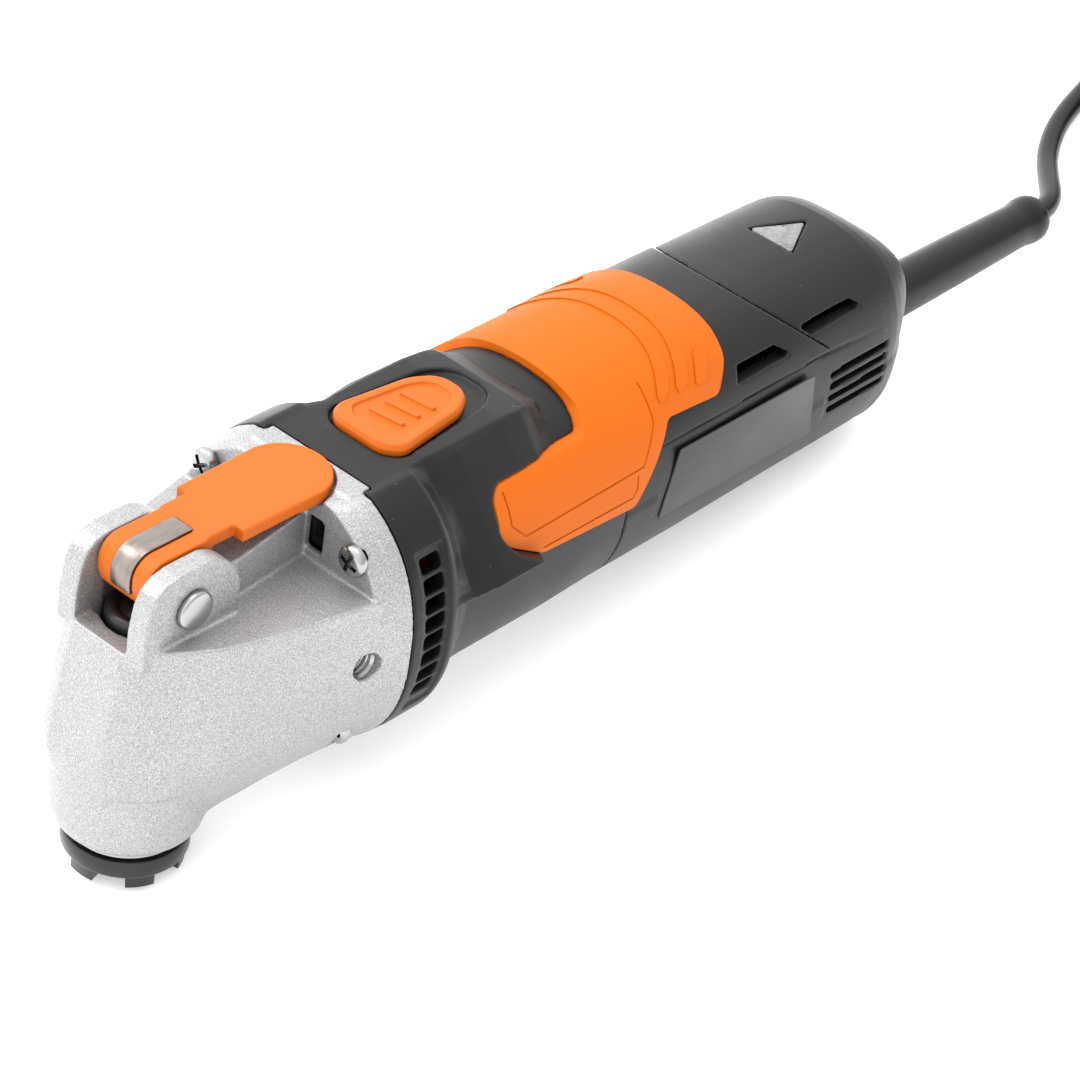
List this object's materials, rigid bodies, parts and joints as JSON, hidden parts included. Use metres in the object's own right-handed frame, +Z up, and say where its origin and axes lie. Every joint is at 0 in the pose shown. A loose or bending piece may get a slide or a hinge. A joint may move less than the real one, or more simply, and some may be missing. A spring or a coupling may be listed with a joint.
{
  "type": "oscillating multi tool",
  "caption": "Corded oscillating multi tool with a cast head, a quick clamp lever, a slide switch and a cord.",
  "frame": {"origin": "on the floor, under the middle of the tool's own box, measured without the cord", "axes": "+X along the tool towards its tail, +Y to the left seen from the tail towards the head, +Z up; the tool stands on its rear hub lugs and the underside of its tail, so its motor axis slopes down 5.66 degrees towards the tail"},
  "size_m": [0.5269, 0.0941, 0.0895],
  "materials": {
    "cast_aluminium": "rough die casting, blasted",
    "bright_steel": "turned or zinc plated",
    "black_steel": "blackened steel",
    "orange_plastic": "fine moulded grain",
    "orange_rubber": "soft moulded grain",
    "black_plastic": "fine moulded grain",
    "black_rubber": "matt",
    "inner_plastic": "plain moulding",
    "clear_lens": "milky and polished",
    "grey_label": "satin printed foil, left blank",
    "copper_winding": "enamelled copper wire on iron",
    "brass": "pressed brass",
    "laminated_iron": "stacked sheets",
    "carbon": "pressed carbon",
    "board_green": "lacquered board"
  },
  "bodies": {
    "housing": {"gear_head": "cast_aluminium", "pivot_pin": "bright_steel", "head_screw_1": "bright_steel", "head_screw_2": "bright_steel", "head_screw_3": "bright_steel", "head_screw_4": "bright_steel", "lower_bearing": "bright_steel", "upper_bearing": "bright_steel", "front_bearing": "bright_steel", "bearing_plate": "bright_steel", "rear_bearing": "bright_steel", "field_stator": "laminated_iron", "brush_holder_1": "brass", "brush_holder_2": "brass", "carbon_brush_1": "carbon", "carbon_brush_2": "carbon", "motor_housing": "black_plastic", "grip_overmould": "orange_rubber", "rear_housing": "black_plastic", "indicator_lens": "clear_lens", "control_board": "board_green", "switch_body": "inner_plastic", "label_panel_1": "grey_label", "label_panel_2": "grey_label", "housing_screw_1": "bright_steel", "housing_screw_2": "bright_steel", "cord_guard": "black_rubber", "cord_clamp": "inner_plastic", "mains_cord": "black_rubber", "cord_coil": "black_rubber", "cord_tie": "inner_plastic", "plug_body": "black_rubber", "plug_blade_1": "bright_steel", "plug_blade_2": "bright_steel"},
    "lever": {"clamp_lever": "orange_plastic", "lever_strip": "bright_steel"},
    "spindle": {"spindle": "bright_steel", "accessory_hub": "black_steel", "dust_ring": "bright_steel", "rocker_fork": "bright_steel"},
    "clamp": {"clamp_rod": "bright_steel", "thrust_cap": "black_steel", "clamp_spring": "bright_steel"},
    "armature": {"armature_shaft": "bright_steel", "eccentric_bearing": "bright_steel", "cooling_fan": "inner_plastic", "armature_core": "copper_winding", "commutator": "brass"},
    "switch": {"switch_button": "orange_plastic", "switch_link": "inner_plastic"}
  },
  "joints": [
    {"name": "lever_pivot", "type": "hinge", "parent": "housing", "child": "lever", "pos_m": [-0.15931, 0, 0.07812], "axis": [0, -1, 0], "range_deg": [0, 95]},
    {"name": "spindle_swing", "type": "hinge", "parent": "housing", "child": "spindle", "pos_m": [-0.16247, 0, 0.05432], "axis": [0.0986, 0, 0.9951], "range_deg": [-1.6, 1.6]},
    {"name": "clamp_slide", "type": "slide", "parent": "spindle", "child": "clamp", "axis": [-0.0986, 0, -0.9951], "range_m": [0, 0.0039], "deforming": ["clamp_spring"]},
    {"name": "armature_spin", "type": "hinge", "parent": "housing", "child": "armature", "pos_m": [-0.16247, 0, 0.05432], "axis": [0.9951, 0, -0.0986], "continuous": true},
    {"name": "switch_slide", "type": "slide", "parent": "housing", "child": "switch", "axis": [0.9951, 0, -0.0986], "range_m": [0, 0.006]}
  ],
  "couplings": [
    {"joint": "clamp_slide", "follows": "lever_pivot", "m_per_rad": 0.00229}
  ]
}
